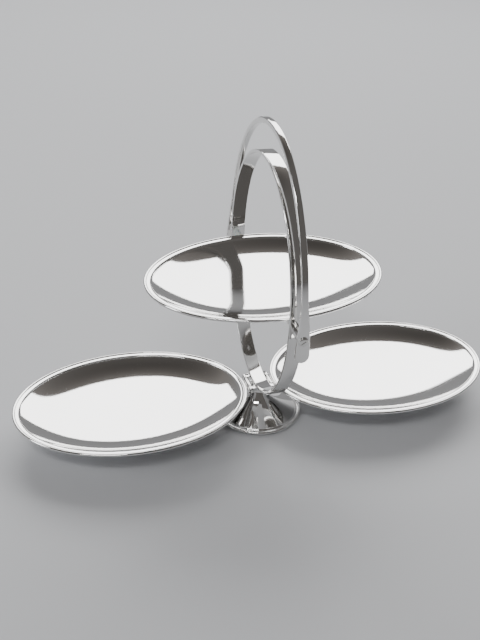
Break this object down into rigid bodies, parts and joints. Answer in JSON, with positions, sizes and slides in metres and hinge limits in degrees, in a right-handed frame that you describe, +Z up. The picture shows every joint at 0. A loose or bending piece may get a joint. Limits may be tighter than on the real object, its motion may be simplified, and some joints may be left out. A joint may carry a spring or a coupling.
{
  "type": "tiered cake stand",
  "caption": "Folding tiered cake stand: oval metal trays on an upright hoop with a carrying handle and a trumpet foot.",
  "frame": {"origin": "middle of the foot's underside, on the table", "axes": "+Z up; X along the long axes of the trays, with the right tray at +X; Y across the trays, front at -Y"},
  "size_m": [0.5272, 0.242, 0.335],
  "materials": {
    "mirror_steel": "mirror-polished stainless steel",
    "bright_steel": "bright turned stainless steel",
    "zinc": "zinc-plated pressed steel",
    "cast": "raw cast iron ballast",
    "felt": "black felt",
    "nylon": "white nylon"
  },
  "bodies": {
    "frame": {"foot_pad": "felt", "base_plate": "zinc", "foot_weight": "cast", "foot_shell": "mirror_steel", "centre_bolt": "bright_steel", "hinge_saddle": "mirror_steel", "hoop": "mirror_steel", "handle": "mirror_steel", "pivot_screws": "bright_steel", "pivot_spacers": "bright_steel", "pivot_washers": "nylon", "left_hinge_pin": "bright_steel", "right_hinge_pin": "bright_steel"},
    "middle_tray": {"middle_tray": "mirror_steel", "front_pivot_lug": "bright_steel", "rear_pivot_lug": "bright_steel"},
    "left_tray": {"left_tray": "mirror_steel", "left_hinge_leaf": "bright_steel"},
    "right_tray": {"right_tray": "mirror_steel", "right_hinge_leaf": "bright_steel"}
  },
  "joints": [
    {"name": "middle_tray_tilt", "type": "hinge", "parent": "frame", "child": "middle_tray", "pos_m": [0, 0, 0.168], "axis": [0, 1, 0], "range_deg": [-90, 90]},
    {"name": "left_tray_fold", "type": "hinge", "parent": "frame", "child": "left_tray", "pos_m": [-0.012, 0, 0.0365], "axis": [0, 1, 0], "range_deg": [0, 44]},
    {"name": "right_tray_fold", "type": "hinge", "parent": "frame", "child": "right_tray", "pos_m": [0.012, 0, 0.0365], "axis": [0, -1, 0], "range_deg": [0, 44]}
  ]
}
